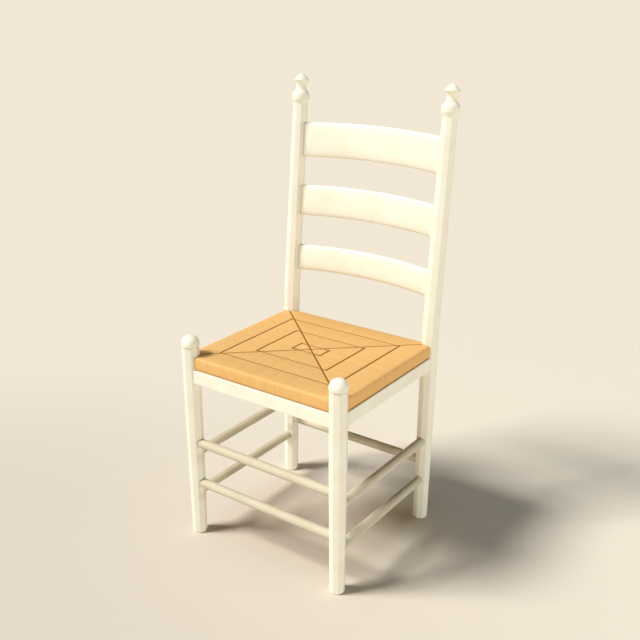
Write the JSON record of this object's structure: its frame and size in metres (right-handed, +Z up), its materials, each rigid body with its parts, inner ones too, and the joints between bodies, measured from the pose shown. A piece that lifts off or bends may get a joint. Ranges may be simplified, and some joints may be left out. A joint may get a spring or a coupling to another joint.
{
  "type": "ladderback chair",
  "caption": "Wooden side chair with a tall slatted back, turned finials and knobs, round stretchers and a flat woven rush seat.",
  "frame": {"origin": "on the floor, under the middle of the chair's overall width and depth", "axes": "+Z up, -Y the way the chair faces, +X towards the side named right"},
  "size_m": [0.4334, 0.451, 1.0182],
  "materials": {
    "painted_wood": "satin cream paint",
    "bare_wood": "planed and unfinished",
    "rush": "woven natural rush, matte",
    "screw_steel": "zinc plated"
  },
  "bodies": {
    "root": {"front_post_left": "painted_wood", "front_post_right": "painted_wood", "back_post_left": "painted_wood", "back_post_right": "painted_wood", "front_knob_left": "painted_wood", "front_knob_right": "painted_wood", "back_finial_left": "painted_wood", "back_finial_right": "painted_wood", "top_slat": "painted_wood", "middle_slat": "painted_wood", "bottom_slat": "painted_wood", "front_rail": "painted_wood", "back_rail": "painted_wood", "left_rail": "painted_wood", "right_rail": "painted_wood", "front_stretcher_upper": "painted_wood", "front_stretcher_lower": "painted_wood", "left_stretcher_upper": "painted_wood", "left_stretcher_lower": "painted_wood", "right_stretcher_upper": "painted_wood", "right_stretcher_lower": "painted_wood", "back_stretcher": "painted_wood", "seat_bar_front": "bare_wood", "seat_bar_back": "bare_wood", "seat_bar_left": "bare_wood", "seat_bar_right": "bare_wood", "corner_block_front_left": "bare_wood", "corner_block_front_right": "bare_wood", "corner_block_back_left": "bare_wood", "corner_block_back_right": "bare_wood", "rush_seat": "rush", "seat_screws": "screw_steel"}
  },
  "joints": []
}
